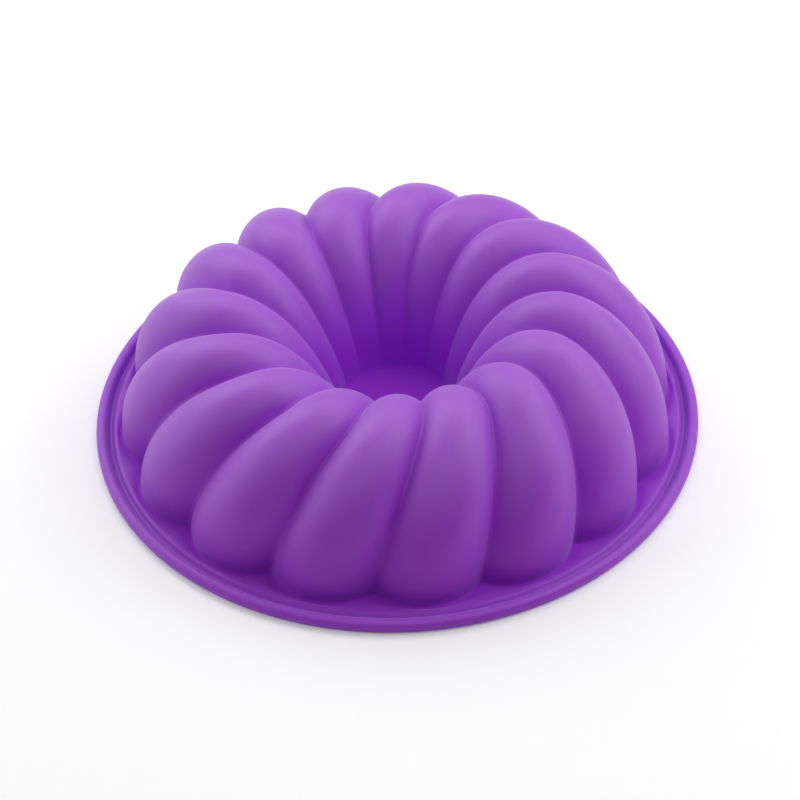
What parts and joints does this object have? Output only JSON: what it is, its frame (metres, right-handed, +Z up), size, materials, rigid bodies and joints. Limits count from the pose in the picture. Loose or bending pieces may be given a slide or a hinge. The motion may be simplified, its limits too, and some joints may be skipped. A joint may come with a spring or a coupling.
{
  "type": "silicone kugelhopf mould",
  "caption": "Round silicone cake mould with swirled lobes, a closed centre tube and a flat flange with a rounded rim bead, resting rim down.",
  "frame": {"origin": "centre of the rim, on the surface that the rim rests on", "axes": "+Z up along the mould's axis through the centre well, -Y towards the camera of the picture"},
  "size_m": [0.25, 0.25, 0.0604],
  "materials": {
    "silicone": "satin"
  },
  "bodies": {
    "root": {"mould": "silicone"}
  },
  "joints": []
}
